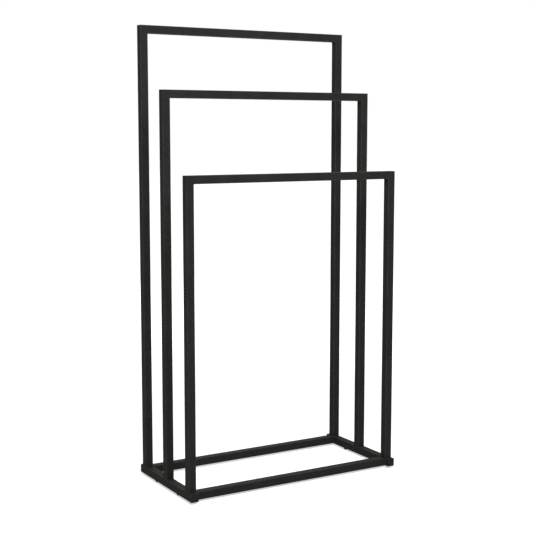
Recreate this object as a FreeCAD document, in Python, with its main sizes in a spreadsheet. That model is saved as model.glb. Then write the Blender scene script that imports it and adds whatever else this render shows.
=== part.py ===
"""A freestanding towel stand of square steel tube.

Three welded U frames, each higher than the one in front of it, are screwed from below onto a
welded base. The base is two runners from front to back, joined by two long rails. The runners'
ends are closed by ribbed plugs, and snap-in feet carry the stand.

Millimetres. +X is to the right, +Y to the rear and +Z up. The origin lies on the floor under the
middle of the stand.
"""
import FreeCAD, Part
import math
import os

import Sketcher

# Each size: its name, its value in millimetres (counts are plain numbers), and what it is.
SIZES = [
    ("stand_width", 450.0, "over the outer faces of the two runners"),
    ("frame_spacing", 92.5, "from one frame's middle plane to the next one's"),
    ("front_height", 588.0, "top of the front towel bar above the floor"),
    ("middle_height", 739.0, "top of the middle towel bar above the floor"),
    ("rear_height", 860.0, "top of the rear towel bar above the floor"),
    ("runner_overhang", 10.0, "of a runner, with its end plug, past the outer posts"),
    ("tube_side", 15.0, "outer side of the square tube"),
    ("tube_wall", 1.2, "wall of the square tube"),
    ("tube_corner_radius", 0.6, "of the tube's outer corners"),
    ("bore_radius", 0.4, "of the corners inside the tube"),
    ("cut_edge_rounding", 0.3, "of a sawn tube end, where a post stands and a plug closes a runner"),
    ("corner_rounding", 0.5, "of a frame's outer corners, ground after welding"),
    ("cap_head_thickness", 2.5, "of an end plug's head, outside the tube"),
    ("cap_head_rounding", 0.5, "of the head's outer edges"),
    ("cap_body_length", 10.0, "of an end plug's body, inside the tube"),
    ("cap_body_gap", 0.7, "between the plug's body and the bore, bridged by its ribs"),
    ("cap_body_wall", 1.4, "of the plug's hollow body"),
    ("cap_rib_gap", 0.05, "between the ribs and the bore"),
    ("cap_rib_thickness", 0.8, "of one rib, along the tube"),
    ("cap_rib_inset", 1.6, "from the head to the first rib"),
    ("cap_rib_pitch", 2.6, "from one rib to the next"),
    ("cap_rib_count", 3, "ribs on one plug"),
    ("foot_height", 4.0, "from the floor to the underside of the runner"),
    ("foot_diameter", 10.0, "of the foot's disc"),
    ("foot_edge_rounding", 1.2, "of the disc's lower edge"),
    ("foot_stem_diameter", 5.0, "of the stem through the runner's lower wall"),
    ("foot_stem_gap", 0.1, "round the stem in its hole, and above the wall"),
    ("foot_barb_reach", 0.4, "of the barb past the stem, on each side"),
    ("foot_barb_height", 3.0, "of the tapering barb above the wall"),
    ("foot_tip_diameter", 3.6, "at the top of the barb"),
    ("insert_length", 15.0, "of the tapped insert in a post's lower end"),
    ("insert_gap", 0.1, "between the insert and the post's bore"),
    ("insert_corner_radius", 2.0, "of the insert's upright edges"),
    ("insert_chamfer", 0.6, "round the insert's upper edge"),
    ("screw_diameter", 6.0, "of the thread"),
    ("screw_length", 16.0, "under the head"),
    ("screw_tip_chamfer", 0.8, "at the end of the thread"),
    ("thread_gap", 0.05, "round the thread in the tapped insert"),
    ("screw_hole_gap", 0.25, "round the thread in the runner's upper wall"),
    ("screw_head_diameter", 10.5, "of the button head"),
    ("screw_head_height", 3.3, "of the button head"),
    ("screw_head_rounding", 2.4, "of the head's lower edge"),
    ("key_flats", 4.0, "across the flats of the hexagonal socket"),
    ("key_depth", 2.1, "of the hexagonal socket"),
    ("key_hole_gap", 0.5, "round the screw head in the runner's lower wall"),
]

# Places and lengths that follow from the sizes. X, Y and Z are the stand's own directions.
RUNNER_X = "(Sizes.stand_width - Sizes.tube_side) / 2"
BASE_Z = "Sizes.foot_height + Sizes.tube_side / 2"
POST_FOOT_Z = "Sizes.foot_height + Sizes.tube_side"
SCREW_SEAT_Z = "Sizes.foot_height + Sizes.tube_side - Sizes.tube_wall"
RUNNER_END_Y = (
    "Sizes.frame_spacing + Sizes.tube_side / 2 + Sizes.runner_overhang - Sizes.cap_head_thickness"
)
BORE = "Sizes.tube_side - 2 * Sizes.tube_wall"
FRAMES = {
    "front": ("-Sizes.frame_spacing", "Sizes.front_height"),
    "middle": ("0", "Sizes.middle_height"),
    "rear": ("Sizes.frame_spacing", "Sizes.rear_height"),
}
# How near a face has to lie to a height to count as lying at it.
FLAT_TOLERANCE = 1e-4
# A piece on the right is the one on the left turned half round, and so is a rear one to a front one.
SIDES = {"left": (-1, 0.0), "right": (1, 180.0)}
ENDS = {"front": (-1, 0.0), "rear": (1, 180.0)}

doc = FreeCAD.newDocument("TowelStand")


def write_sizes():
    """Fill the sheet with one named size to a row: name, value and what it is."""
    sheet = doc.addObject("Spreadsheet::Sheet", "Sizes")
    for row, (name, value, note) in enumerate(SIZES, start=1):
        sheet.set(f"A{row}", name)
        sheet.set(f"B{row}", str(value))
        sheet.set(f"C{row}", note)
        sheet.setAlias(f"B{row}", name)
    doc.recompute()


def size(expression):
    """The value of an expression on the sizes."""
    return float(doc.Sizes.evalExpression(expression))


def new_body(label):
    """An empty body whose label names the piece."""
    body = doc.addObject("PartDesign::Body", label)
    body.Label = label
    return body


def origin_feature(body, role):
    """The body's own origin plane or axis with that role."""
    return next(feature for feature in body.Origin.OriginFeatures if feature.Role == role)


def new_sketch(body, name, role, lift=None):
    """A sketch on one of the body's origin planes, raised along the plane's normal by lift."""
    sketch = body.newObject("Sketcher::SketchObject", f"{body.Name}_{name}")
    sketch.AttachmentSupport = [(origin_feature(body, role), "")]
    sketch.MapMode = "FlatFace"
    if lift:
        sketch.setExpression("AttachmentOffset.Base.z", lift)
    return sketch


def hold(sketch, kind, *places, value):
    """Add a dimension to the sketch and bind it to an expression on the sizes."""
    index = sketch.addConstraint(Sketcher.Constraint(kind, *places, float(sketch.evalExpression(value))))
    sketch.setExpression(f"Constraints[{index}]", value)


def rounded_square(sketch, side, radius):
    """Draw a square with rounded corners round the sketch's origin."""
    half = float(sketch.evalExpression(side)) / 2
    bend = float(sketch.evalExpression(radius))
    flat = half - bend
    first = sketch.GeometryCount
    for quarter in range(4):
        turn = FreeCAD.Rotation(FreeCAD.Vector(0, 0, 1), 90 * quarter)
        start = turn.multVec(FreeCAD.Vector(-flat, -half, 0))
        end = turn.multVec(FreeCAD.Vector(flat, -half, 0))
        centre = turn.multVec(FreeCAD.Vector(flat, -flat, 0))
        angle = math.radians(90 * quarter)
        corner = Part.Circle(centre, FreeCAD.Vector(0, 0, 1), bend)
        sketch.addGeometry(Part.LineSegment(start, end))
        sketch.addGeometry(Part.ArcOfCircle(corner, angle - math.pi / 2, angle))
    lower, right, upper, left = range(first, first + 8, 2)
    arcs = range(first + 1, first + 9, 2)
    for line, arc in zip((lower, right, upper, left), arcs):
        following = line + 2 if line != left else lower
        sketch.addConstraint(Sketcher.Constraint("Tangent", line, 2, arc, 1))
        sketch.addConstraint(Sketcher.Constraint("Tangent", arc, 2, following, 1))
    for line in (lower, upper):
        sketch.addConstraint(Sketcher.Constraint("Horizontal", line))
    for line in (right, left):
        sketch.addConstraint(Sketcher.Constraint("Vertical", line))
    for arc in arcs[1:]:
        sketch.addConstraint(Sketcher.Constraint("Equal", arcs[0], arc))
    sketch.addConstraint(Sketcher.Constraint("Symmetric", arcs[0], 3, arcs[2], 3, -1, 1))
    hold(sketch, "Radius", arcs[0], value=radius)
    hold(sketch, "DistanceX", left, 1, right, 1, value=side)
    hold(sketch, "DistanceY", lower, 1, upper, 1, value=side)


def outline(sketch, corners):
    """Draw a closed outline of straight lines through corners, each held by its two coordinates."""
    places = [[float(sketch.evalExpression(value)) for value in corner] for corner in corners]
    first = sketch.GeometryCount
    count = len(corners)
    for index, place in enumerate(places):
        following = places[(index + 1) % count]
        sketch.addGeometry(Part.LineSegment(FreeCAD.Vector(*place, 0), FreeCAD.Vector(*following, 0)))
    for index, (across, along) in enumerate(corners):
        line = first + index
        following = first + (index + 1) % count
        sketch.addConstraint(Sketcher.Constraint("Coincident", line, 2, following, 1))
        hold(sketch, "DistanceX", -1, 1, line, 1, value=across)
        hold(sketch, "DistanceY", -1, 1, line, 1, value=along)


def circle(sketch, diameter, along="0"):
    """Draw a circle on the sketch's vertical axis, at that distance from its origin."""
    place = FreeCAD.Vector(0, float(sketch.evalExpression(along)), 0)
    radius = float(sketch.evalExpression(diameter)) / 2
    index = sketch.addGeometry(Part.Circle(place, FreeCAD.Vector(0, 0, 1), radius))
    hold(sketch, "Diameter", index, value=diameter)
    hold(sketch, "DistanceX", -1, 1, index, 3, value="0")
    hold(sketch, "DistanceY", -1, 1, index, 3, value=along)


def extrude(body, kind, sketch, length, reverse=False, symmetric=False):
    """Add a Pad, or cut a Pocket, that long from a sketch, and recompute it."""
    feature = body.newObject(f"PartDesign::{kind}", f"{sketch.Name}_{kind.lower()}")
    feature.Profile = sketch
    feature.Reversed = reverse
    if symmetric:
        feature.SideType = "Symmetric"
    feature.setExpression("Length", length)
    doc.recompute()
    return feature


def revolve(body, profile):
    """Turn a profile once round the body's vertical axis."""
    feature = body.newObject("PartDesign::Revolution", f"{profile.Name}_turned")
    feature.Profile = profile
    feature.ReferenceAxis = (profile, ["V_Axis"])
    feature.Angle = 360.0
    doc.recompute()
    return feature


def cut(body, sketch, depth, **options):
    """Cut a Pocket and make sure that it takes material away."""
    before = body.Shape.Volume
    pocket = extrude(body, "Pocket", sketch, depth, **options)
    if pocket.Shape.Volume >= before:
        raise RuntimeError(f"{pocket.Name} cuts nothing")
    return pocket


def rim(feature, height, axis="z"):
    """Names of the edges round the outside of the flat face at that height along one axis."""
    for face in feature.Shape.Faces:
        low = getattr(face.BoundBox, f"{axis.upper()}Min")
        high = getattr(face.BoundBox, f"{axis.upper()}Max")
        if max(abs(low - height), abs(high - height)) < FLAT_TOLERANCE:
            wire = face.OuterWire.Edges
            edges = enumerate(feature.Shape.Edges, start=1)
            return [f"Edge{number}" for number, edge in edges if any(map(edge.isSame, wire))]
    raise RuntimeError(f"{feature.Name} has no flat face at {axis} = {height}")


def dress(body, kind, feature, names, amount):
    """Round (Fillet) or bevel (Chamfer) the feature's edges with those names."""
    dressed = body.newObject(f"PartDesign::{kind}", f"{feature.Name}_{kind.lower()}")
    dressed.Base = (feature, names)
    dressed.setExpression("Radius" if kind == "Fillet" else "Size", amount)
    doc.recompute()
    return dressed


def repeat(body, feature, direction, length, count):
    """Repeat a feature evenly along one of the body's axes, over length."""
    pattern = body.newObject("PartDesign::LinearPattern", f"{feature.Name}_pattern")
    pattern.Originals = [feature]
    pattern.Direction = (origin_feature(body, direction), [""])
    pattern.setExpression("Length", length)
    pattern.setExpression("Occurrences", count)
    keep_copies(body, pattern)


def mirror(body, feature, role):
    """Mirror a feature in one of the body's origin planes."""
    mirrored = body.newObject("PartDesign::Mirrored", f"{feature.Name}_mirror")
    mirrored.Originals = [feature]
    mirrored.MirrorPlane = (origin_feature(body, role), [""])
    keep_copies(body, mirrored)


def keep_copies(body, pattern):
    """Make a pattern the body's result and make sure that its copies change the body."""
    before = pattern.Originals[0].Shape.Volume
    body.Tip = pattern
    doc.recompute()
    if math.isclose(body.Shape.Volume, before):
        raise RuntimeError(f"{pattern.Name} copies nothing")


def place(body, east, north, up, turn=0.0):
    """Turn the body about the vertical by turn degrees and bind its place to expressions."""
    upright = FreeCAD.Rotation(FreeCAD.Vector(0, 0, 1), turn)
    body.Placement = FreeCAD.Placement(FreeCAD.Vector(), upright)
    body.setExpression("Placement.Base.x", east)
    body.setExpression("Placement.Base.y", north)
    body.setExpression("Placement.Base.z", up)


def tube(body, role, length, symmetric=True):
    """A length of the square tube, square to one of the body's origin planes."""
    section = new_sketch(body, "section", role)
    rounded_square(section, "Sizes.tube_side", "Sizes.tube_corner_radius")
    rounded_square(section, BORE, "Sizes.bore_radius")
    return extrude(body, "Pad", section, length, symmetric=symmetric)


def mitre(body, across, up, lean):
    """Cut the right end of a tube at 45 degrees through the point across, up on its middle line.

    The cut is a right triangle, seen from the front, with legs of two tube sides. It takes what
    lies above the slanted line where lean is 1, and what lies below it where lean is -1.
    """
    near = f"{across} - Sizes.tube_side"
    far = f"{across} + Sizes.tube_side"
    level = f"{up} + {lean} * Sizes.tube_side"
    tip = f"{up} - {lean} * Sizes.tube_side"
    wedge = new_sketch(body, "mitre", "XZ_Plane")
    outline(wedge, [(near, level), (far, level), (far, tip)])
    return cut(body, wedge, "2 * Sizes.tube_side", symmetric=True)


def base_runner(side):
    """A tube from front to back with its holes: three for screws, two for feet."""
    sign, turn = SIDES[side]
    body = new_body(f"base_runner_{side}")
    blank = tube(body, "XZ_Plane", f"2 * ({RUNNER_END_Y})")
    end = size(RUNNER_END_Y)
    dress(body, "Fillet", blank, rim(blank, -end, "y") + rim(blank, end, "y"), "Sizes.cut_edge_rounding")
    for name, diameter, upward in (
        ("screw_hole", "Sizes.screw_diameter + 2 * Sizes.screw_hole_gap", True),
        ("key_hole", "Sizes.screw_head_diameter + 2 * Sizes.key_hole_gap", False),
    ):
        sketch = new_sketch(body, name, "XY_Plane")
        circle(sketch, diameter, "-Sizes.frame_spacing")
        hole = cut(body, sketch, "Sizes.tube_side", reverse=upward)
        repeat(body, hole, "Y_Axis", "2 * Sizes.frame_spacing", str(len(FRAMES)))
    sketch = new_sketch(body, "foot_hole", "XY_Plane")
    circle(sketch, "Sizes.foot_stem_diameter + 2 * Sizes.foot_stem_gap", "-Sizes.frame_spacing / 2")
    hole = cut(body, sketch, "Sizes.tube_side")
    mirror(body, hole, "XZ_Plane")
    place(body, f"{sign} * {RUNNER_X}", "0", BASE_Z, turn)


def base_rail(end):
    """A tube across the stand, between the runners and in line with the outer frame."""
    sign, turn = ENDS[end]
    body = new_body(f"base_rail_{end}")
    tube(body, "YZ_Plane", "Sizes.stand_width - 2 * Sizes.tube_side")
    place(body, "0", f"{sign} * Sizes.frame_spacing", BASE_Z, turn)


def end_cap(side, end):
    """A ribbed plug in a runner's end: a head flush with the tube and a hollow body in its bore."""
    sign_x, _ = SIDES[side]
    sign_y, turn = ENDS[end]
    body = new_body(f"end_cap_{side}_{end}")
    head_sketch = new_sketch(body, "head", "XZ_Plane")
    rounded_square(head_sketch, "Sizes.tube_side", "Sizes.tube_corner_radius")
    head = extrude(body, "Pad", head_sketch, "Sizes.cap_head_thickness")
    face = rim(head, -size("Sizes.cap_head_thickness"), "y")
    dress(body, "Fillet", head, face, "Sizes.cap_head_rounding")

    body_side = f"{BORE} - 2 * Sizes.cap_body_gap"
    body_sketch = new_sketch(body, "body", "XZ_Plane")
    rounded_square(body_sketch, body_side, "Sizes.bore_radius")
    extrude(body, "Pad", body_sketch, "Sizes.cap_body_length", reverse=True)

    rib_lift = "-(Sizes.cap_rib_inset + Sizes.cap_rib_thickness)"
    rib_sketch = new_sketch(body, "rib", "XZ_Plane", rib_lift)
    rounded_square(rib_sketch, f"{BORE} - 2 * Sizes.cap_rib_gap", "Sizes.bore_radius")
    rib = extrude(body, "Pad", rib_sketch, "Sizes.cap_rib_thickness")
    reach = "(Sizes.cap_rib_count - 1) * Sizes.cap_rib_pitch"
    repeat(body, rib, "Y_Axis", reach, "Sizes.cap_rib_count")

    hollow_sketch = new_sketch(body, "hollow", "XZ_Plane")
    rounded_square(hollow_sketch, f"{body_side} - 2 * Sizes.cap_body_wall", "Sizes.bore_radius")
    cut(body, hollow_sketch, "Sizes.cap_body_length")
    place(body, f"{sign_x} * {RUNNER_X}", f"{sign_y} * ({RUNNER_END_Y})", BASE_Z, turn)


def foot(side, end):
    """A disc under the runner with a stem and a barb that snap into the runner's lower wall."""
    sign_x, _ = SIDES[side]
    sign_y, turn = ENDS[end]
    body = new_body(f"foot_{side}_{end}")
    barb_foot = "Sizes.foot_height + Sizes.tube_wall + Sizes.foot_stem_gap"
    barb_top = f"{barb_foot} + Sizes.foot_barb_height"
    stem = "Sizes.foot_stem_diameter / 2"
    profile = new_sketch(body, "profile", "XZ_Plane")
    outline(profile, [
        ("0", "0"),
        ("Sizes.foot_diameter / 2", "0"),
        ("Sizes.foot_diameter / 2", "Sizes.foot_height"),
        (stem, "Sizes.foot_height"),
        (stem, barb_foot),
        (f"{stem} + Sizes.foot_barb_reach", barb_foot),
        ("Sizes.foot_tip_diameter / 2", barb_top),
        ("0", barb_top),
    ])
    turned = revolve(body, profile)
    dress(body, "Fillet", turned, rim(turned, 0.0), "Sizes.foot_edge_rounding")
    place(body, f"{sign_x} * {RUNNER_X}", f"{sign_y} * Sizes.frame_spacing / 2", "0", turn)


def post(frame, side):
    """A tube that stands on a runner, mitred at the top to meet the towel bar."""
    sign, turn = SIDES[side]
    north, height = FRAMES[frame]
    length = f"({height} - ({POST_FOOT_Z}))"
    body = new_body(f"post_{frame}_{side}")
    blank = tube(body, "XY_Plane", length, symmetric=False)
    ground = dress(body, "Fillet", blank, rim(blank, size(length)), "Sizes.corner_rounding")
    dress(body, "Fillet", ground, rim(ground, 0.0), "Sizes.cut_edge_rounding")
    mitre(body, "0", f"{length} - Sizes.tube_side / 2", 1)
    place(body, f"{sign} * {RUNNER_X}", north, POST_FOOT_Z, turn)


def towel_bar(frame):
    """A tube across the top of a frame, mitred at both ends to meet the posts."""
    north, height = FRAMES[frame]
    body = new_body(f"towel_bar_{frame}")
    blank = tube(body, "YZ_Plane", "Sizes.stand_width")
    end = size("Sizes.stand_width / 2")
    dress(body, "Fillet", blank, rim(blank, -end, "x") + rim(blank, end, "x"), "Sizes.corner_rounding")
    corner = mitre(body, RUNNER_X, "0", -1)
    mirror(body, corner, "YZ_Plane")
    place(body, "0", north, f"{height} - Sizes.tube_side / 2")


def post_insert(frame, side):
    """A tapped steel block flush with a post's lower end."""
    sign, turn = SIDES[side]
    north, _ = FRAMES[frame]
    body = new_body(f"post_insert_{frame}_{side}")
    section = new_sketch(body, "section", "XY_Plane")
    rounded_square(section, f"{BORE} - 2 * Sizes.insert_gap", "Sizes.insert_corner_radius")
    block = extrude(body, "Pad", section, "Sizes.insert_length")
    dress(body, "Chamfer", block, rim(block, size("Sizes.insert_length")), "Sizes.insert_chamfer")
    thread = new_sketch(body, "thread", "XY_Plane")
    circle(thread, "Sizes.screw_diameter + 2 * Sizes.thread_gap")
    cut(body, thread, "Sizes.insert_length", reverse=True)
    place(body, f"{sign} * {RUNNER_X}", north, POST_FOOT_Z, turn)


def post_screw(frame, side):
    """A button-head screw whose head seats under the runner's upper wall, from inside."""
    sign, turn = SIDES[side]
    north, _ = FRAMES[frame]
    body = new_body(f"post_screw_{frame}_{side}")
    thread = "Sizes.screw_diameter / 2"
    head = "Sizes.screw_head_diameter / 2"
    profile = new_sketch(body, "profile", "XZ_Plane")
    outline(profile, [
        ("0", "-Sizes.screw_head_height"),
        (head, "-Sizes.screw_head_height"),
        (head, "0"),
        (thread, "0"),
        (thread, "Sizes.screw_length - Sizes.screw_tip_chamfer"),
        (f"{thread} - Sizes.screw_tip_chamfer", "Sizes.screw_length"),
        ("0", "Sizes.screw_length"),
    ])
    turned = revolve(body, profile)
    face = rim(turned, -size("Sizes.screw_head_height"))
    dress(body, "Fillet", turned, face, "Sizes.screw_head_rounding")
    socket = new_sketch(body, "socket", "XY_Plane", "-Sizes.screw_head_height")
    corner = "Sizes.key_flats / sqrt(3)"
    outline(socket, [(f"{corner} * cos({60 * k} deg)", f"{corner} * sin({60 * k} deg)") for k in range(6)])
    cut(body, socket, "Sizes.key_depth", reverse=True)
    place(body, f"{sign} * {RUNNER_X}", north, SCREW_SEAT_Z, turn)


def build():
    """Build every piece of the stand."""
    write_sizes()
    for side in SIDES:
        base_runner(side)
        for end in ENDS:
            end_cap(side, end)
            foot(side, end)
    for end in ENDS:
        base_rail(end)
    for frame in FRAMES:
        towel_bar(frame)
        for side in SIDES:
            post(frame, side)
            post_insert(frame, side)
            post_screw(frame, side)
    doc.recompute()


def write_pieces():
    """Check every object, then write each piece to a file named by its label."""
    for item in doc.Objects:
        if "Invalid" in item.State or "Error" in item.State:
            raise RuntimeError(f"{item.Name} did not compute: {item.State}")
    bodies = [item for item in doc.Objects if item.TypeId == "PartDesign::Body"]
    for body in bodies:
        shape = body.Shape
        if shape.isNull() or not shape.isValid() or len(shape.Solids) != 1:
            raise RuntimeError(f"{body.Label} is not one sound solid")
    os.makedirs("parts", exist_ok=True)
    for body in bodies:
        body.Shape.exportStep(f"parts/{body.Label}.step")
        print(f"{body.Label}: {body.Shape.Volume:.1f} mm3")
    print(f"{len(bodies)} pieces")


build()
write_pieces()
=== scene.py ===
"""The looks of the freestanding towel stand: its coat, plastics, screws and welds, in a plain studio.

Everything is in metres. The stand's width lies along X, its front looks along -Y, and Z is up.
"""

import logging
import math
from dataclasses import dataclass, replace
from enum import Enum
from typing import Mapping, Optional, Sequence, Union

import bpy
import numpy as np
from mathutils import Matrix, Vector


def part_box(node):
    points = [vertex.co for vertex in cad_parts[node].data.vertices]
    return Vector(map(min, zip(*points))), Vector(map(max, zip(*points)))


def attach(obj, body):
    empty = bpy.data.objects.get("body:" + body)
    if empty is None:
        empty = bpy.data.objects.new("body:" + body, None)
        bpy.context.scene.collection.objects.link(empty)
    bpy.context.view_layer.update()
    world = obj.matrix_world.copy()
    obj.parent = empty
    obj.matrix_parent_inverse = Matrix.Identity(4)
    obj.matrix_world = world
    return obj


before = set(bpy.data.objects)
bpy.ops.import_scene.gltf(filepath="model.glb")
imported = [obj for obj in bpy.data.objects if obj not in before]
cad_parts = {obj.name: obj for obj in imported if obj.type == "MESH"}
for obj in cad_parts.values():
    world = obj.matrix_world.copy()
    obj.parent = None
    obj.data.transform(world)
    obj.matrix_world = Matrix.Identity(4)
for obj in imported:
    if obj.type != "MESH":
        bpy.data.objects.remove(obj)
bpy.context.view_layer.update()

MM = 0.001
TUBE_CORNER_RADIUS = 0.6 * MM
BODY = "root"

Colour = tuple[float, float, float]
Triple = tuple[float, float, float]
Span = tuple[float, float]

WHITE: Colour = (1.0, 1.0, 1.0)

# The sockets of a Mix node that mixes colours: its factor, its two colours and its answer.
MIX_FACTOR, MIX_FIRST, MIX_SECOND = 0, 6, 7
MIX_ANSWER = 2

log = logging.getLogger("towel_stand")


# ---------------------------------------------------------------------------------------------------
# Named options
# ---------------------------------------------------------------------------------------------------


class Side(Enum):
    """The two sides of the stand, as seen from its front."""

    LEFT = "left"
    RIGHT = "right"

    @property
    def sign(self) -> float:
        """Which way the side lies along X."""
        return -1.0 if self is Side.LEFT else 1.0


class End(Enum):
    """The two ends of the base."""

    FRONT = "front"
    REAR = "rear"


class Tier(Enum):
    """The three frames, from the lowest to the highest."""

    FRONT = "front"
    MIDDLE = "middle"
    REAR = "rear"


class Run(Enum):
    """The axis that a tube runs along, as its index."""

    X = 0
    Y = 1

    @property
    def across(self) -> tuple[int, int]:
        """The two axes that lie across the tube."""
        return tuple(axis for axis in range(3) if axis != self.value)


# ---------------------------------------------------------------------------------------------------
# Shader graphs
# ---------------------------------------------------------------------------------------------------


class Signal:
    """A shader socket that takes Python's operators: each one adds a Math node."""

    def __init__(self, graph: "Graph", socket: Optional[bpy.types.NodeSocket]) -> None:
        """Keep the graph and the socket that the signal comes out of, if its node has one."""
        self.graph = graph
        self.socket = socket

    def _math(self, operation: str, *operands: "Feed") -> "Signal":
        """Add a Math node with this operation on these operands."""
        return self.graph.node("ShaderNodeMath", {"operation": operation}, dict(enumerate(operands)))

    def __add__(self, other: "Feed") -> "Signal":
        """The sum of the two."""
        return self._math("ADD", self, other)

    def __radd__(self, other: "Feed") -> "Signal":
        """The sum of the two, with a number first."""
        return self._math("ADD", other, self)

    def __sub__(self, other: "Feed") -> "Signal":
        """This less the other."""
        return self._math("SUBTRACT", self, other)

    def __rsub__(self, other: "Feed") -> "Signal":
        """A number less this."""
        return self._math("SUBTRACT", other, self)

    def __mul__(self, other: "Feed") -> "Signal":
        """The product of the two."""
        return self._math("MULTIPLY", self, other)

    def __rmul__(self, other: "Feed") -> "Signal":
        """The product of the two, with a number first."""
        return self._math("MULTIPLY", other, self)

    def __pow__(self, other: "Feed") -> "Signal":
        """This to the power of the other."""
        return self._math("POWER", self, other)

    def __abs__(self) -> "Signal":
        """This without its sign."""
        return self._math("ABSOLUTE", self)

    def sine(self) -> "Signal":
        """The sine of this, in radians."""
        return self._math("SINE", self)

    def larger(self, other: "Feed") -> "Signal":
        """The larger of the two."""
        return self._math("MAXIMUM", self, other)

    def sway(self, amount: float) -> "Signal":
        """Swing by half the amount to each side of 0 while this goes from 0 to 1."""
        return (self - 0.5) * amount

    def ease(self, low: float, high: float) -> "Signal":
        """Rise smoothly from 0 at low to 1 at high, or fall where low is the higher."""
        return self.graph.node(
            "ShaderNodeMapRange",
            {"interpolation_type": "SMOOTHSTEP"},
            {"Value": self, "From Min": low, "From Max": high},
        )


Feed = Union[Signal, float, Sequence[float]]


@dataclass(frozen=True)
class Grain:
    """A soft noise: the size of its features, its octaves of finer detail and how strong they are."""

    size: float
    detail: float = 2.0
    rough: float = 0.5


class Graph:
    """The nodes of one material or of the world."""

    def __init__(self, tree: bpy.types.NodeTree) -> None:
        """Start from an empty tree."""
        tree.nodes.clear()
        self.tree = tree

    def node(
        self,
        kind: str,
        settings: Optional[Mapping[str, object]] = None,
        inputs: Optional[Mapping[Union[str, int], Feed]] = None,
        output: Union[str, int] = 0,
    ) -> Signal:
        """Add a node, set it up and feed it.

        Args:
            kind: The node's Blender type.
            settings: Its properties, which are set first.
            inputs: A value or a signal for each socket, by name or index.
            output: The socket that the answer comes from.

        Returns:
            The output as a signal.
        """
        node = self.tree.nodes.new(kind)
        for name, value in (settings or {}).items():
            setattr(node, name, value)
        for name, value in (inputs or {}).items():
            if isinstance(value, Signal):
                self.tree.links.new(value.socket, node.inputs[name])
            else:
                node.inputs[name].default_value = value
        return Signal(self, node.outputs[output] if node.outputs else None)

    def here(self, centre: Triple = (0.0, 0.0, 0.0)) -> Signal:
        """The place on the object, measured from a centre.

        Args:
            centre: The point that becomes the origin.

        Returns:
            The place, in metres.
        """
        place = self.node("ShaderNodeTexCoord", output="Object")
        shift = tuple(-part for part in centre)
        return self.node("ShaderNodeMapping", inputs={"Vector": place, "Location": shift})

    def stretch(self, place: Signal, scale: Triple) -> Signal:
        """The place with each axis scaled."""
        return self.node("ShaderNodeMapping", inputs={"Vector": place, "Scale": scale})

    def parts(self, place: Signal) -> tuple[Signal, Signal, Signal]:
        """The three coordinates of a place."""
        node = self.node("ShaderNodeSeparateXYZ", inputs={"Vector": place}).socket.node
        return tuple(Signal(self, socket) for socket in node.outputs)

    def noise(self, place: Signal, grain: Grain) -> Signal:
        """Soft noise from 0 to 1 with that grain."""
        fineness = {"Scale": 1.0 / grain.size, "Detail": grain.detail, "Roughness": grain.rough}
        return self.node("ShaderNodeTexNoise", inputs={"Vector": place, **fineness})

    def blend(self, factor: Feed, first: Union[Signal, Colour], second: Union[Signal, Colour]) -> Signal:
        """Go from the first colour to the second.

        Args:
            factor: How far it goes, from 0 to 1.
            first: The colour at 0.
            second: The colour at 1.

        Returns:
            The mixed colour.
        """
        inputs: dict[int, Feed] = {MIX_FACTOR: factor}
        for socket, colour in ((MIX_FIRST, first), (MIX_SECOND, second)):
            inputs[socket] = colour if isinstance(colour, Signal) else (*colour, 1.0)
        return self.node("ShaderNodeMix", {"data_type": "RGBA"}, inputs, output=MIX_ANSWER)

    def relief(self, height: Signal) -> Signal:
        """The normal of a surface raised by a height in millimetres."""
        return self.node("ShaderNodeBump", inputs={"Height": height, "Distance": MM, "Strength": 1.0})

    def end(self, shader: Signal, kind: str = "ShaderNodeOutputMaterial") -> None:
        """End the graph with its output node."""
        self.node(kind, inputs={"Surface": shader})

    def end_surface(self, height: Signal, inputs: Mapping[str, Feed]) -> None:
        """End the graph with one surface shader.

        Args:
            height: The relief, in millimetres.
            inputs: A value or a signal for each of the shader's other sockets.
        """
        fed = {**inputs, "Normal": self.relief(height)}
        self.end(self.node("ShaderNodeBsdfPrincipled", inputs=fed))


def new_material(name: str) -> tuple[bpy.types.Material, Graph]:
    """Make a material with no nodes yet.

    Args:
        name: Its name.

    Returns:
        The material and its empty graph.
    """
    material = bpy.data.materials.new(name)
    material.use_nodes = True
    return material, Graph(material.node_tree)


# ---------------------------------------------------------------------------------------------------
# Finishes
# ---------------------------------------------------------------------------------------------------
#
# A name that ends in height is a relief in millimetres, one in span is the range of a pattern over
# which a mark comes up, one in tone is how far the mark goes towards its own colour, and one in
# roughness or polish is how much it adds to the roughness or takes from it. A mottle holds the shares
# in which the noises that make the tone cloudy are added.


@dataclass(frozen=True)
class TubeEdges:
    """The long edges of one straight tube."""

    centre: Triple
    run: Run

    def across(self, graph: Graph) -> tuple[Signal, Signal]:
        """The two distances from the tube's middle line."""
        place = graph.parts(graph.here(self.centre))
        return tuple(place[axis] for axis in self.run.across)


@dataclass(frozen=True)
class FrameEdges:
    """The long edges of a U frame, which turn with the tube at its two mitres."""

    post_x: float
    y: float
    bar_z: float

    def across(self, graph: Graph) -> tuple[Signal, Signal]:
        """The two distances from the frame's middle line.

        In the frame's plane it is the larger of the distance out past the post's middle line and the
        distance up past the bar's, and square to the plane it is the distance in Y.

        Args:
            graph: The material's graph.

        Returns:
            The distance in the frame's plane and the one square to it.
        """
        x, y, z = graph.parts(graph.here((0.0, self.y, self.bar_z)))
        return (abs(x) - self.post_x).larger(z), y


Edges = Union[TubeEdges, FrameEdges]


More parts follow.
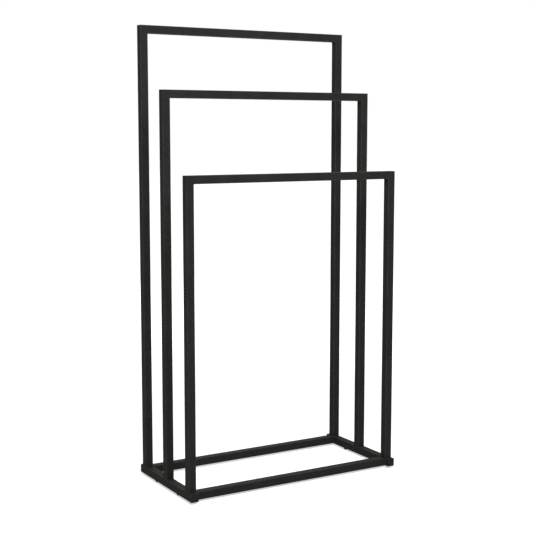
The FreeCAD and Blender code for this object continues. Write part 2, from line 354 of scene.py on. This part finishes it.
@dataclass(frozen=True)
class PowderCoat:
    """Black satin powder coat: a cured skin with orange peel, fine grain with painted glints on its tips,
    and rubbed edges that are partly a painted edge highlight.
    """

    deep: Colour = (0.0134, 0.0126, 0.0109)
    pale: Colour = (0.0240, 0.0227, 0.0198)
    # The paler colour that the painted glints and the rubbed edges, with their painted edge highlight, go
    # towards.
    pale_mark: Colour = (0.060, 0.058, 0.055)
    roughness: float = 0.66
    gloss: float = 0.028
    cloud: Grain = Grain(110 * MM, 3.0)
    patch: Grain = Grain(22 * MM, 3.0)
    speck: Grain = Grain(1.1 * MM, 2.0, 0.6)
    mottle: tuple[float, float, float] = (0.18, 0.27, 0.55)
    mottle_span: Span = (0.32, 0.68)
    patch_roughness: float = 0.10
    speck_roughness: float = 0.08
    peel: Grain = Grain(2.4 * MM, 1.0)
    peel_height: float = 0.070
    skin: Grain = Grain(0.60 * MM, 2.0, 0.6)
    skin_height: float = 0.070
    # Painted glints: where on the fine grain they come up, and how far they go towards the paler colour.
    painted_glint_span: Span = (0.56, 0.76)
    painted_glint_tone: float = 0.30
    # Rubbed edges, partly wear and partly a painted highlight along the rounded edges: where along an edge
    # they come up, the patches that rub them more, their least strength, their tone and how much glossier
    # they are.
    edge_span: Span = (0.82, 0.94)
    touch: Grain = Grain(45 * MM, 4.0, 0.55)
    touch_span: Span = (0.34, 0.68)
    least_rub_and_highlight: float = 0.35
    rub_and_highlight_tone: float = 0.60
    rub_polish: float = 0.08

    def material(self, name: str, edges: Optional[Edges], half: float) -> bpy.types.Material:
        """Make the coat for one piece.

        Args:
            name: The material's name.
            edges: Where the long edges lie, or None for a piece with none.
            half: Half the side of the tube.

        Returns:
            The material.
        """
        material, graph = new_material(name)
        place = graph.here()
        cloud = graph.noise(place, self.cloud)
        patch = graph.noise(place, self.patch)
        speck = graph.noise(place, self.speck)
        skin = graph.noise(place, self.skin)
        peel = graph.noise(place, self.peel)

        by_cloud, by_patch, by_speck = self.mottle
        shade = (cloud * by_cloud + patch * by_patch + speck * by_speck).ease(*self.mottle_span)
        colour = graph.blend(shade, self.deep, self.pale)
        # Painted glints: the tips of the fine grain are lifted towards the paler colour, a painted highlight
        # on the grain.
        colour = graph.blend(skin.ease(*self.painted_glint_span) * self.painted_glint_tone, colour, self.pale_mark)
        roughness = self.roughness + patch.sway(self.patch_roughness) + speck.sway(self.speck_roughness)
        if edges is not None:
            # Rubbed edges: a paler line along each rounded edge, partly wear and partly a painted edge
            # highlight.
            rub_and_highlight = self.rub_and_highlight(graph, place, edges, half)
            colour = graph.blend(rub_and_highlight * self.rub_and_highlight_tone, colour, self.pale_mark)
            roughness = roughness - rub_and_highlight * self.rub_polish
        graph.end_surface(
            peel * self.peel_height + skin * self.skin_height,
            {"Base Color": colour, "Roughness": roughness, "Specular IOR Level": self.gloss},
        )
        return material

    def rub_and_highlight(self, graph: Graph, place: Signal, edges: Edges, half: float) -> Signal:
        """How strong the rubbed edge is, from 0 to 1. The mark is partly wear and partly a painted edge
        highlight.

        The mark follows the product of the two distances from the tube's middle line, over the square
        of half its side, which is 0 along the middle of a face and nears 1 at an edge. An edge has its
        least strength, and its full strength only in soft patches that hands and towels touch more.

        Args:
            graph: The material's graph.
            place: The place on the object.
            edges: Where the long edges lie.
            half: Half the side of the tube.

        Returns:
            The strength of the rub and the painted edge highlight.
        """
        first, second = edges.across(graph)
        nearness = abs(first * second) * (1.0 / half**2)
        touch = graph.noise(place, self.touch).ease(*self.touch_span)
        return nearness.ease(*self.edge_span) * (self.least_rub_and_highlight + touch * (1.0 - self.least_rub_and_highlight))


@dataclass(frozen=True)
class MouldedPlastic:
    """Black moulded plastic with a spark-eroded grain, soft scuffs and paler rims."""

    deep: Colour
    pale: Colour
    roughness: float
    pale_mark: Colour = (0.045, 0.044, 0.042)
    gloss: float = 0.04
    cloud: Grain = Grain(7 * MM, 3.0)
    speck: Grain = Grain(0.8 * MM, 2.0, 0.6)
    mottle: tuple[float, float] = (0.6, 0.4)
    mottle_span: Span = (0.32, 0.70)
    cloud_roughness: float = 0.12
    rim_from: float = 0.86
    rim_tone: float = 0.30
    scuff: Grain = Grain(1.6 * MM, 4.0, 0.7)
    scuff_stretch: Triple = (1.0, 0.25, 1.0)
    scuff_span: Span = (0.62, 0.74)
    scuff_tone: float = 0.22
    scuff_roughness: float = 0.08
    skin: Grain = Grain(0.35 * MM, 2.0, 0.6)
    skin_height: float = 0.022
    sink: Grain = Grain(4 * MM, 1.0)
    sink_height: float = 0.03

    def material(self, name: str, centre: Triple, reach: float) -> bpy.types.Material:
        """Make the plastic for one piece.

        Args:
            name: The material's name.
            centre: The middle of the piece's outer face.
            reach: Distance from that middle at which the rim is rubbed in full.

        Returns:
            The material.
        """
        material, graph = new_material(name)
        place = graph.here()
        x, y, z = graph.parts(graph.here(centre))
        cloud = graph.noise(place, self.cloud)
        speck = graph.noise(place, self.speck)
        skin = graph.noise(place, self.skin)
        sink = graph.noise(place, self.sink)
        scuff = graph.noise(graph.stretch(place, self.scuff_stretch), self.scuff).ease(*self.scuff_span)
        rim = ((x * x + y * y + z * z) ** 0.5).ease(reach * self.rim_from, reach)

        by_cloud, by_speck = self.mottle
        shade = (cloud * by_cloud + speck * by_speck).ease(*self.mottle_span)
        colour = graph.blend(shade, self.deep, self.pale)
        colour = graph.blend((rim * self.rim_tone).larger(scuff * self.scuff_tone), colour, self.pale_mark)
        roughness = self.roughness + cloud.sway(self.cloud_roughness) + scuff * self.scuff_roughness
        graph.end_surface(
            skin * self.skin_height + sink * self.sink_height,
            {"Base Color": colour, "Roughness": roughness, "Specular IOR Level": self.gloss},
        )
        return material


@dataclass(frozen=True)
class BlackenedSteel:
    """Blackened steel of a turned screw, with fine rings and a key-polished socket."""

    dark: Colour = (0.030, 0.030, 0.032)
    bright: Colour = (0.20, 0.20, 0.205)
    metal: float = 0.85
    roughness: float = 0.36
    ring_pitch: float = 0.32 * MM
    ring_height: float = 0.0035
    patch: Grain = Grain(3 * MM, 4.0, 0.6)
    patch_span: Span = (0.35, 0.65)
    patch_roughness: float = 0.22
    patch_height: float = 0.02
    outer_fade: Span = (1.30, 1.05)
    inner_fade: Span = (0.80, 0.98)
    key_tone: float = 0.7
    skirt_from: float = 0.90
    skirt_tone: float = 0.4
    bare_polish: float = 0.08

    def material(self, name: str, centre: Triple, socket: float, head: float) -> bpy.types.Material:
        """Make the finish for one screw.

        The rings are a sine of the distance from the screw's middle line. The key bares a band about
        the socket's radius, which fades outwards and inwards between two shares of that radius, and
        the skirt of the head is rubbed bare too. Soft patches break both up.

        Args:
            name: The material's name.
            centre: A point on the screw's middle line.
            socket: The radius of the hexagon socket.
            head: The radius of the head.

        Returns:
            The material.
        """
        material, graph = new_material(name)
        place = graph.here(centre)
        x, y, _ = graph.parts(place)
        radius = (x * x + y * y) ** 0.5
        rings = (radius * (2.0 * math.pi / self.ring_pitch)).sine()
        patch = graph.noise(place, self.patch)
        outside = radius.ease(*(socket * share for share in self.outer_fade))
        inside = radius.ease(*(socket * share for share in self.inner_fade))
        skirt = radius.ease(head * self.skirt_from, head)
        worn = (outside * inside * self.key_tone).larger(skirt * self.skirt_tone)
        bare = worn * patch.ease(*self.patch_span)
        roughness = self.roughness + patch.sway(self.patch_roughness) - bare * self.bare_polish
        graph.end_surface(
            rings * self.ring_height + patch * self.patch_height,
            {
                "Base Color": graph.blend(bare, self.dark, self.bright),
                "Metallic": self.metal + bare * (1.0 - self.metal),
                "Roughness": roughness,
            },
        )
        return material


@dataclass(frozen=True)
class ZincPlate:
    """Bright zinc plate with a thin, faintly coloured passive film."""

    silver: Colour = (0.60, 0.62, 0.64)
    straw: Colour = (0.58, 0.55, 0.44)
    roughness: float = 0.30
    film: Grain = Grain(6 * MM, 3.0)
    film_span: Span = (0.40, 0.70)
    brush: Grain = Grain(0.5 * MM, 3.0)
    brush_stretch: Triple = (1.0, 1.0, 0.08)
    brush_roughness: float = 0.20
    brush_height: float = 0.01

    def material(self, name: str) -> bpy.types.Material:
        """Make the plating for one insert.

        Args:
            name: The material's name.

        Returns:
            The material.
        """
        material, graph = new_material(name)
        place = graph.here()
        film = graph.noise(place, self.film).ease(*self.film_span)
        brush = graph.noise(graph.stretch(place, self.brush_stretch), self.brush)
        graph.end_surface(
            brush * self.brush_height,
            {
                "Base Color": graph.blend(film, self.silver, self.straw),
                "Metallic": 1.0,
                "Roughness": self.roughness + brush.sway(self.brush_roughness),
            },
        )
        return material


# ---------------------------------------------------------------------------------------------------
# Surfaces
# ---------------------------------------------------------------------------------------------------

# The waves along a weld: how long each is against the shortest one, and how high it is.
WAVE_LENGTHS = (1.0, 2.3, 5.1)
WAVE_HEIGHTS = (0.5, 0.3, 0.2)


@dataclass(frozen=True)
class RoundedSquare:
    """The outline of a square tube with rounded corners."""

    half: float
    radius: float
    per_side: int = 10
    per_corner: int = 8

    @property
    def flat(self) -> float:
        """Half the length of a side's straight stretch."""
        return self.half - self.radius

    def walk(self) -> tuple[np.ndarray, np.ndarray, np.ndarray]:
        """Walk once round the outline, anticlockwise from the lower end of its right side.

        On a straight stretch the point is half a side out from the middle and moves along the side. On
        a corner it is the corner's centre plus the radius times the outward direction, which turns by
        a quarter.

        Returns:
            The points, their outward directions and their distances along the outline.
        """
        steps = (np.arange(self.per_side) + 0.5) / self.per_side * 2.0 - 1.0
        turn = (np.arange(self.per_corner) + 0.5) / self.per_corner * math.pi / 2
        side = np.stack([np.full_like(steps, self.half), steps * self.flat], axis=1)
        side_out = np.tile([1.0, 0.0], (self.per_side, 1))
        corner_out = np.stack([np.cos(turn), np.sin(turn)], axis=1)
        corner = self.flat + self.radius * corner_out
        quarter, quarter_out = np.vstack([side, corner]), np.vstack([side_out, corner_out])
        turns = [np.linalg.matrix_power(np.array([[0.0, 1.0], [-1.0, 0.0]]), k) for k in range(4)]
        points = np.vstack([quarter @ spin for spin in turns])
        outward = np.vstack([quarter_out @ spin for spin in turns])
        gaps = np.linalg.norm(np.roll(points, -1, axis=0) - points, axis=1)
        return points, outward, np.concatenate([[0.0], np.cumsum(gaps)[:-1]])


def ripple(along: np.ndarray, pitch: float, seed: int) -> np.ndarray:
    """Uneven waves along a bead, from about -1 to 1.

    Three sines of the distance along the bead are added, one at the pitch and two longer ones, each
    with its own chance start and a whole number of waves, so that they all but close up.

    Args:
        along: Distance along the bead at each point, from 0.
        pitch: Length of the shortest wave.
        seed: Number that settles the chance starts.

    Returns:
        The height of the wave at each point.
    """
    rng = np.random.default_rng(seed)
    length = along[-1] + along[1]
    counts = np.round(length / pitch / np.array(WAVE_LENGTHS))
    starts = rng.uniform(0.0, 2.0 * math.pi, len(WAVE_LENGTHS))
    waves = np.sin(2.0 * math.pi * counts[:, None] * along[None, :] / length + starts[:, None])
    return np.array(WAVE_HEIGHTS) @ waves


def ring_mesh(name: str, grid: np.ndarray, sharp: float = 50.0) -> bpy.types.Object:
    """Make a closed ring from a grid of points that joins up in both directions.

    Point (i, j) is joined to (i+1, j), (i+1, j+1) and (i, j+1), and each index starts again after the
    last. The sum of a . (b x c) over the triangles of the faces is six times the volume inside, and
    where it comes out negative the faces are turned round, so that they look outwards.

    Args:
        name: The piece's name.
        grid: Points as an array of rows, columns and 3.
        sharp: Angle in degrees from which an edge stays sharp.

    Returns:
        The new object, at the origin.
    """
    rows, columns, _ = grid.shape
    i, j = np.meshgrid(np.arange(rows), np.arange(columns), indexing="ij")
    below, right = (i + 1) % rows, (j + 1) % columns
    corners = [i * columns + j, below * columns + j, below * columns + right, i * columns + right]
    quads = np.stack(corners, axis=-1).reshape(-1, 4)
    points = grid.reshape(-1, 3)
    a, b, c, d = (points[quads[:, k]] - points.mean(axis=0) for k in range(4))
    six_volumes = np.einsum("ij,ij->", a, np.cross(b, c)) + np.einsum("ij,ij->", a, np.cross(c, d))
    quads = quads if six_volumes > 0 else quads[:, ::-1]
    mesh = bpy.data.meshes.new(name)
    mesh.vertices.add(len(points))
    mesh.vertices.foreach_set("co", points.ravel())
    mesh.loops.add(quads.size)
    mesh.loops.foreach_set("vertex_index", np.ascontiguousarray(quads, dtype=np.int32).ravel())
    mesh.polygons.add(len(quads))
    mesh.polygons.foreach_set("loop_start", np.arange(0, quads.size, 4, dtype=np.int32))
    mesh.polygons.foreach_set("use_smooth", np.ones(len(quads), dtype=bool))
    mesh.update(calc_edges=True)
    mesh.set_sharp_from_angle(angle=math.radians(sharp))
    mesh.validate()
    piece = bpy.data.objects.new(name, mesh)
    bpy.context.scene.collection.objects.link(piece)
    return piece


@dataclass(frozen=True)
class MitreWeld:
    """A weld ground flat round the mitre between a post and its towel bar."""

    reach: float = 2.9 * MM
    height: float = 0.09 * MM
    sink: float = 0.025 * MM
    depth: float = 0.30 * MM
    outer_turn: float = 0.5 * MM
    inner_turn: float = 1.0 * MM
    least_turn: float = 0.05 * MM
    unevenness: float = 0.22
    pitch: float = 4.0 * MM
    steps: int = 33
    first_seed: int = 10

    def grid(self, outline: RoundedSquare, corner: Triple, sign: float, seed: int) -> np.ndarray:
        """Work out the weld's skin.

        Each point of the tube's outline has a line that comes up the post, turns at the mitre and goes
        along the bar. The turn is an arc: its centre lies one radius down and one radius inwards from
        the mitre, and its direction goes round by a quarter. The radius is least on the tube's two
        flanks and grows towards its outer and its inner face. Across the weld, the skin stands above
        the tube by height * (1 - t^2)^2 - sink, where t goes from -1 on the post to 1 on the bar and
        the height is a little uneven round the tube. A second skin at a steady depth inside the wall
        closes the ring.

        Args:
            outline: The tube's outline.
            corner: Where the middle lines of the post and the bar meet.
            sign: -1 on the left and 1 on the right.
            seed: Number that settles the unevenness.

        Returns:
            The points, with one row for each point of the outline.
        """
        points, outward, along = outline.walk()
        out, back = points[:, 0], points[:, 1]
        toward_outer = np.clip((out - outline.flat) / outline.radius, 0.0, 1.0) ** 2
        toward_inner = np.clip((-out - outline.flat) / outline.radius, 0.0, 1.0) ** 2
        radius = (self.least_turn + self.outer_turn * toward_outer + self.inner_turn * toward_inner)[:, None]

        t = np.linspace(-1.0, 1.0, self.steps)
        uneven = 1.0 + self.unevenness * ripple(along, self.pitch, seed)[:, None]
        crown = self.height * (1.0 - t**2) ** 2 * uneven - self.sink
        raised = np.hstack([crown, np.full_like(crown, -self.depth)])
        v = np.concatenate([t, t[::-1]])[None, :] * self.reach

        turn = math.pi / 4 * (1.0 + np.clip(v / radius, -1.0, 1.0))
        beyond = np.maximum(np.abs(v) - radius, 0.0)
        down, inward = np.array([0.0, 0.0, -1.0]), np.array([-sign, 0.0, 0.0])
        rearward = np.array([0.0, 1.0, 0.0])
        mitre = np.array(corner) + out[:, None] * -(down + inward) + back[:, None] * rearward
        centre = mitre[:, None, :] + radius[..., None] * (down + inward)
        facing = -(np.cos(turn)[..., None] * inward + np.sin(turn)[..., None] * down)
        leg = np.where((v < 0.0)[..., None], down, inward) * beyond[..., None]
        normal = outward[:, 0, None, None] * facing + outward[:, 1, None, None] * rearward
        return centre + radius[..., None] * facing + leg + raised[..., None] * normal


@dataclass(frozen=True)
class RailWeld:
    """A bead round the end of a base rail, where it butts against the runner's inner face."""

    rail_leg: float = 2.1 * MM
    top_share: float = 0.7
    runner_leg: float = 2.0 * MM
    top_reach: float = 2.6 * MM
    hollow: float = 0.18
    top_crown: float = 0.18 * MM
    sink: float = 0.02 * MM
    depth: float = 0.35 * MM
    ripple_height: float = 0.24 * MM
    pitch: float = 1.5 * MM
    per_side: int = 56
    steps: int = 15
    first_seed: int = 40

    def on_runner(self, outline: RoundedSquare, laid: np.ndarray, under: float) -> np.ndarray:
        """Bend points that are laid out flat on the runner's skin round its edges.

        Past the flat inner face, a distance s along the skin is an angle s / radius round the edge,
        and past the edge it is a distance along the runner's top or bottom.

        Args:
            outline: The runner's outline.
            laid: How far each point lies along the runner and up its skin.
            under: How deep under the skin the points lie.

        Returns:
            The points: how far they lie into the runner, along it, and up.
        """
        along, up = laid[:, 0], laid[:, 1]
        past = np.maximum(np.abs(up) - outline.flat, 0.0)
        angle = np.minimum(past / outline.radius, math.pi / 2)
        over = past - angle * outline.radius
        lift = np.minimum(np.abs(up), outline.flat) + outline.radius * np.sin(angle)
        inset = outline.radius * (1.0 - np.cos(angle)) + over
        skin = np.column_stack([inset, along, np.sign(up) * lift])
        skin_out = np.column_stack([-np.cos(angle), np.zeros_like(angle), np.sign(up) * np.sin(angle)])
        return skin - skin_out * under

    def grid(self, outline: RoundedSquare, root: Triple, sign: float, seed: int) -> np.ndarray:
        """Work out the bead's skin.

        One toe of the bead is the rail's outline, a leg back from the runner. The other is a wider
        outline drawn on the runner's skin. Between the toes each section is a curve with three
        handles, toe, root and toe, whose weights are (1-t)^2, 2t(1-t) and t^2, and the root's handle
        is pushed a little out of the corner. Fine ripples stand out of its middle, and a second skin
        inside the walls closes the ring.

        Args:
            outline: The outline of the rail, and of the runner.
            root: Where the rail's middle line meets the runner's inner face.
            sign: -1 on the left and 1 on the right.
            seed: Number that settles the ripples.

        Returns:
            The points, with one row for each point of the outline.
        """
        points, outward, along = replace(outline, per_side=self.per_side).walk()
        sideways = outward[:, 0] ** 2
        leg = self.rail_leg * (self.top_share + (1.0 - self.top_share) * sideways)
        rail_toe = np.column_stack([-leg, points - outward * self.sink])
        rail_deep = np.column_stack([-leg, points - outward * self.depth])

        reach = np.array([outline.half + self.runner_leg, outline.flat + self.top_reach])
        laid = points * (reach / outline.half)
        runner_toe = self.on_runner(outline, laid, self.sink)
        runner_deep = self.on_runner(outline, laid, self.depth)

        push = self.hollow * self.runner_leg * sideways + self.top_crown * (1.0 - sideways)
        handle = np.column_stack([-push * sideways, points + outward * push[:, None]])

        t = np.linspace(0.0, 1.0, self.steps)[None, :, None]
        skin = (1 - t) ** 2 * rail_toe[:, None] + 2 * t * (1 - t) * handle[:, None]
        skin = skin + t**2 * runner_toe[:, None]
        waves = self.ripple_height * sideways * ripple(along, self.pitch, seed)
        facing = np.column_stack([-sideways, outward[:, 0], outward[:, 1]])
        facing /= np.linalg.norm(facing, axis=1, keepdims=True)
        skin = skin + (waves[:, None] * facing)[:, None] * 4 * t * (1 - t)
        local = np.concatenate([skin, runner_deep[:, None], rail_deep[:, None]], axis=1)
        return np.array(root) + local * np.array([sign, 1.0, 1.0])


# ---------------------------------------------------------------------------------------------------
# Sub-assemblies
# ---------------------------------------------------------------------------------------------------


def dress(piece: bpy.types.Object, material: bpy.types.Material) -> None:
    """Give every material slot of a piece one material, adding a slot where there is none.

    Args:
        piece: The piece.
        material: Its material.
    """
    if not piece.material_slots:
        piece.data.materials.append(material)
    for held in piece.material_slots:
        held.material = material
    log.info("piece %s: %s", piece.name, material.name)


def middle(node: str) -> Triple:
    """The middle of a CAD node's box."""
    low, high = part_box(node)
    return tuple((low + high) / 2)


@dataclass
class Coating:
    """Coats the tubes and welds, each with a material of its own."""

    tube: RoundedSquare
    coat: PowderCoat = PowderCoat()

    def tube_coat(self, node: str, edges: Edges) -> None:
        """Coat a tube."""
        dress(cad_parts[node], self.coat.material(f"coat_{node}", edges, self.tube.half))

    def weld_coat(self, piece: bpy.types.Object, edges: Optional[Edges] = None) -> None:
        """Coat a weld and let it ride on the stand.

        Args:
            piece: The weld.
            edges: The edges of the tubes that it joins, whose wear and painted edge highlight run on over
                it, or None.
        """
        dress(piece, self.coat.material(f"coat_{piece.name}", edges, self.tube.half))
        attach(piece, BODY)


@dataclass
class Base:
    """The welded base: two runners from front to back and two rails across."""

    coating: Coating
    weld: RailWeld = RailWeld()

    def build(self) -> None:
        """Coat the tubes and lay a bead round each rail's end."""
        for side in Side:
            runner = f"base_runner_{side.value}"
            self.coating.tube_coat(runner, TubeEdges(middle(runner), Run.Y))
        for number, end in enumerate(End):
            rail = f"base_rail_{end.value}"
            self.coating.tube_coat(rail, TubeEdges(middle(rail), Run.X))
            low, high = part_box(rail)
            _, y, z = middle(rail)
            for side in Side:
                root = (high.x if side is Side.RIGHT else low.x, y, z)
                seed = self.weld.first_seed + 2 * number + (side is Side.RIGHT)
                grid = self.weld.grid(self.coating.tube, root, side.sign, seed)
                self.coating.weld_coat(ring_mesh(f"weld_rail_{end.value}_{side.value}", grid))


@dataclass
class UFrame:
    """One upside-down U: two posts and a towel bar, mitred, welded and ground."""

    tier: Tier
    coating: Coating
    weld: MitreWeld = MitreWeld()

    def build(self) -> None:
        """Coat the tubes and put a ground weld round each mitre."""
        bar = f"towel_bar_{self.tier.value}"
        _, bar_y, bar_z = middle(bar)
        edges = FrameEdges(middle(f"post_{self.tier.value}_right")[0], bar_y, bar_z)
        self.coating.tube_coat(bar, edges)
        for side in Side:
            self.coating.tube_coat(f"post_{self.tier.value}_{side.value}", edges)
            corner = (side.sign * edges.post_x, bar_y, bar_z)
            seed = self.weld.first_seed + 2 * list(Tier).index(self.tier) + (side is Side.RIGHT)
            grid = self.weld.grid(self.coating.tube, corner, side.sign, seed)
            self.coating.weld_coat(ring_mesh(f"weld_mitre_{self.tier.value}_{side.value}", grid), edges)


@dataclass
class Plugs:
    """The plastic plugs in the runners' ends."""

    plastic: MouldedPlastic = MouldedPlastic(
        deep=(0.0125, 0.0122, 0.0114), pale=(0.0195, 0.0190, 0.0179), roughness=0.62
    )
    reach: float = 10.4 * MM

    def build(self) -> None:
        """Dress each plug, with the middle of its head as the pattern's centre."""
        for side in Side:
            for end in End:
                place = f"{side.value}_{end.value}"
                node = f"end_cap_{place}"
                low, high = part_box(node)
                x, _, z = middle(node)
                centre = (x, low.y if end is End.FRONT else high.y, z)
                dress(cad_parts[node], self.plastic.material(f"plug_{place}", centre, self.reach))


@dataclass
class Feet:
    """The plastic feet under the runners."""

    plastic: MouldedPlastic = MouldedPlastic(
        deep=(0.0125, 0.0122, 0.0116), pale=(0.0200, 0.0196, 0.0186), roughness=0.58
    )
    reach: float = 5.4 * MM

    def build(self) -> None:
        """Dress each foot, with the middle of its disc's face as the pattern's centre."""
        for side in Side:
            for end in End:
                place = f"{side.value}_{end.value}"
                node = f"foot_{place}"
                x, y, _ = middle(node)
                material = self.plastic.material(f"foot_plastic_{place}", (x, y, 0.0), self.reach)
                dress(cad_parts[node], material)


@dataclass
class Fastenings:
    """The screws that hold the frames to the runners, and the inserts that they go into."""

    steel: BlackenedSteel = BlackenedSteel()
    zinc: ZincPlate = ZincPlate()
    socket_radius: float = 2.1 * MM

    def build(self) -> None:
        """Dress each screw and its insert."""
        for tier in Tier:
            for side in Side:
                place = f"{tier.value}_{side.value}"
                screw, insert = f"post_screw_{place}", f"post_insert_{place}"
                low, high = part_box(screw)
                head_radius = (high.x - low.x) / 2
                steel = self.steel.material(f"steel_{place}", middle(screw), self.socket_radius, head_radius)
                dress(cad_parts[screw], steel)
                dress(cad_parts[insert], self.zinc.material(f"zinc_{place}"))


# ---------------------------------------------------------------------------------------------------
# Studio and camera
# ---------------------------------------------------------------------------------------------------


@dataclass(frozen=True)
class Softbox:
    """A large soft lamp that the camera doesn't see."""

    name: str
    place: Triple
    aim: Triple
    size: tuple[float, float]
    power: float
    colour: Colour

    def build(self) -> None:
        """Hang the lamp and turn it to its aim."""
        lamp = bpy.data.lights.new(self.name, "AREA")
        lamp.shape = "RECTANGLE"
        lamp.size, lamp.size_y = self.size
        lamp.energy = self.power
        lamp.color = self.colour
        holder = bpy.data.objects.new(self.name, lamp)
        holder.location = self.place
        holder.rotation_euler = (Vector(self.aim) - Vector(self.place)).to_track_quat("-Z", "Y").to_euler()
        holder.visible_camera = False
        bpy.context.scene.collection.objects.link(holder)
        log.info("lamp %s: %.0f W", self.name, self.power)


@dataclass
class Studio:
    """A pale floor, a white surround and soft lamps."""

    floor_half: float = 15.0
    floor_colour: Colour = (0.70, 0.70, 0.70)
    floor_lift: float = 0.55
    white_from: float = 0.55
    white_by: float = 1.60
    surround: float = 0.18
    surround_colour: Colour = (1.0, 0.96, 0.90)
    lamps: tuple[Softbox, ...] = (
        Softbox("key", (-0.45, -1.3, 2.0), (0.0, 0.0, 0.80), (1.4, 1.0), 65.0, (0.885, 0.94, 1.0)),
        Softbox("top", (0.2, 0.3, 2.9), (0.0, 0.0, 0.5), (2.2, 2.2), 3.0, (0.96, 0.98, 1.0)),
        Softbox("left", (-2.4, 0.3, 0.9), (0.0, 0.0, 0.45), (1.6, 1.8), 1.0, (1.0, 0.95, 0.88)),
        Softbox("right", (2.4, 0.3, 1.1), (0.0, 0.0, 0.45), (1.6, 1.8), 15.0, (1.0, 0.97, 0.93)),
        Softbox("rear", (0.4, 2.6, 1.1), (0.0, 0.0, 0.45), (1.8, 1.8), 16.0, (1.0, 0.97, 0.93)),
    )

    def seen_directly(self, graph: Graph) -> Signal:
        """Tell the rays that show a surface from the ones that only carry its light.

        Args:
            graph: The graph of the surface or the world.

        Returns:
            1 where the ray comes from the camera, a reflection or through glass, else 0.
        """
        seen = ("Is Camera Ray", "Is Glossy Ray", "Is Transmission Ray")
        path = graph.node("ShaderNodeLightPath").socket.node
        camera, glossy, through = (Signal(graph, path.outputs[name]) for name in seen)
        return camera.larger(glossy).larger(through)

    def build(self) -> None:
        """Lay the floor, light the surround and hang the lamps."""
        self.lay_floor()
        self.light_surround()
        for lamp in self.lamps:
            lamp.build()

    def lay_floor(self) -> None:
        """A plane whose colour is lifted to white where it is seen, and which keeps the shadow."""
        edge = self.floor_half
        corners = [(-edge, -edge, 0.0), (edge, -edge, 0.0), (edge, edge, 0.0), (-edge, edge, 0.0)]
        mesh = bpy.data.meshes.new("floor")
        mesh.from_pydata(corners, [], [(0, 1, 2, 3)])
        floor = bpy.data.objects.new("floor", mesh)
        bpy.context.scene.collection.objects.link(floor)
        material, graph = new_material("studio_floor")
        matt = graph.node("ShaderNodeBsdfDiffuse", inputs={"Color": (*self.floor_colour, 1.0)})
        x, y, _ = graph.parts(graph.here())
        far = ((x * x + y * y) ** 0.5).ease(self.white_from, self.white_by)
        strength = self.seen_directly(graph) * (self.floor_lift + far * (1.0 - self.floor_lift))
        lift = graph.node("ShaderNodeEmission", inputs={"Strength": strength})
        graph.end(graph.node("ShaderNodeAddShader", inputs={0: matt, 1: lift}))
        dress(floor, material)

    def light_surround(self) -> None:
        """A world that looks white and lights the stand only softly."""
        world = bpy.data.worlds.new("surround")
        world.use_nodes = True
        bpy.context.scene.world = world
        graph = Graph(world.node_tree)
        seen = self.seen_directly(graph)
        glow = {
            "Color": graph.blend(seen, self.surround_colour, WHITE),
            "Strength": self.surround + seen * (1.0 - self.surround),
        }
        graph.end(graph.node("ShaderNodeBackground", inputs=glow), "ShaderNodeOutputWorld")


@dataclass(frozen=True)
class Viewpoint:
    """The camera at the photograph's viewing angle: angles in degrees, lens and sensor in millimetres."""

    place: Triple = (-1.0972, -1.8573, 0.6668)
    yaw: float = 30.47
    pitch: float = 6.91
    lens: float = 76.05
    sensor: float = 36.0
    nearest: float = 0.05
    farthest: float = 100.0

    def build(self) -> None:
        """Set the camera up: it looks down by the pitch and to the right by the yaw."""
        data = bpy.data.cameras.new("camera")
        data.lens, data.sensor_width = self.lens, self.sensor
        data.clip_start, data.clip_end = self.nearest, self.farthest
        camera = bpy.data.objects.new("camera", data)
        camera.location = self.place
        camera.rotation_euler = (math.radians(90.0 - self.pitch), 0.0, math.radians(-self.yaw))
        bpy.context.scene.collection.objects.link(camera)
        bpy.context.scene.camera = camera
        bpy.context.scene.view_settings.view_transform = "Standard"


def main() -> None:
    """Build the camera, the studio and the stand's sub-assemblies in order."""
    logging.basicConfig(level=logging.INFO, format="%(name)s: %(message)s")
    Viewpoint().build()
    Studio().build()
    low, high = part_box("base_rail_front")
    coating = Coating(RoundedSquare((high.z - low.z) / 2, TUBE_CORNER_RADIUS))
    Base(coating).build()
    for tier in Tier:
        UFrame(tier, coating).build()
    Plugs().build()
    Feet().build()
    Fastenings().build()


if __name__ == "__main__":
    main()
